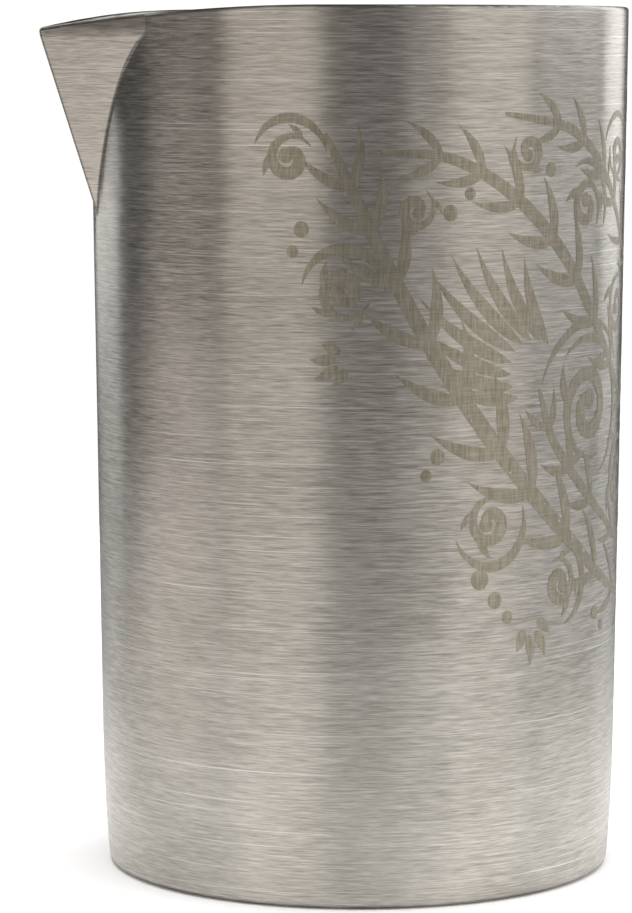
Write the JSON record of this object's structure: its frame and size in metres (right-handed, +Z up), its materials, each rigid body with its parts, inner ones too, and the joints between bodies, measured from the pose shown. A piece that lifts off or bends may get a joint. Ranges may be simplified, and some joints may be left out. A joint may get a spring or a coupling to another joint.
{
  "type": "mixing glass",
  "caption": "Double-wall brushed steel stirring vessel for cocktails, tapered, with a pressed V-shaped pouring spout and a recessed base cover.",
  "frame": {"origin": "where the vessel's axis meets the surface it stands on", "axes": "+Z is up along the vessel's axis, the spout points along -X, and the vessel is mirror-symmetric across the XZ plane"},
  "size_m": [0.0991, 0.09, 0.144],
  "materials": {
    "outer_steel": "stainless steel, brushed around the vessel",
    "liner_steel": "stainless steel, satin inside",
    "cover_steel": "stainless steel, spun in fine circles",
    "adhesive": "cured silicone adhesive",
    "solder_glass": "dark solder glass bead",
    "foil": "bright copper foil",
    "getter_metal": "pressed getter powder",
    "clip_metal": "nickel strip"
  },
  "bodies": {
    "root": {"outer_shell": "outer_steel", "inner_liner": "liner_steel", "liner_base": "liner_steel", "outer_base": "outer_steel", "base_cover": "cover_steel", "cover_adhesive": "adhesive", "vacuum_seal": "solder_glass", "radiation_foil": "foil", "base_foil": "foil", "getter": "getter_metal", "getter_clip": "clip_metal"}
  },
  "joints": []
}
